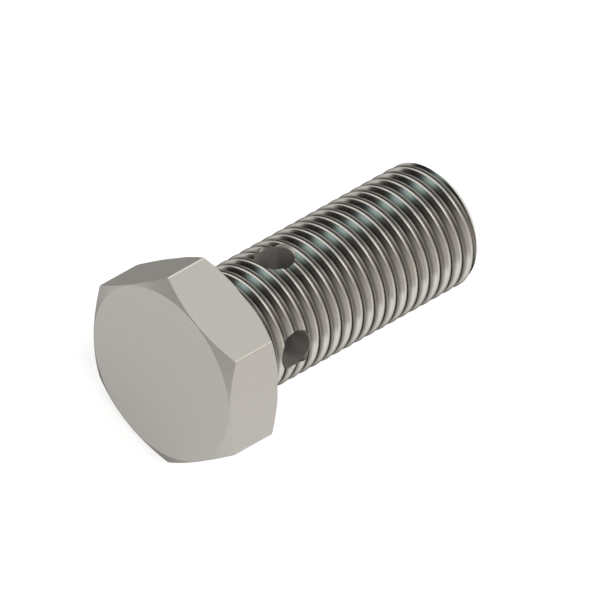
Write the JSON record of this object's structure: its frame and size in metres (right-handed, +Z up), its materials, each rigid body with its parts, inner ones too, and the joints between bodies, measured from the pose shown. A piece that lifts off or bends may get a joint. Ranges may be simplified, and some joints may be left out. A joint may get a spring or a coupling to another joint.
{
  "type": "banjo bolt",
  "caption": "Hollow hexagon head bolt with a fine thread and cross holes, which clamps a banjo fitting and feeds fluid through it.",
  "frame": {"origin": "on the floor under the middle of the bolt's box, as it lies at rest", "axes": "+Z up; +X level, from the head towards the thread end, with the bolt's own axis dipping by 5.37 degrees towards the thread end"},
  "size_m": [0.0328, 0.0184, 0.0163],
  "materials": {
    "bolt_steel": "satin machined steel"
  },
  "bodies": {
    "root": {"banjo_bolt": "bolt_steel"}
  },
  "joints": []
}
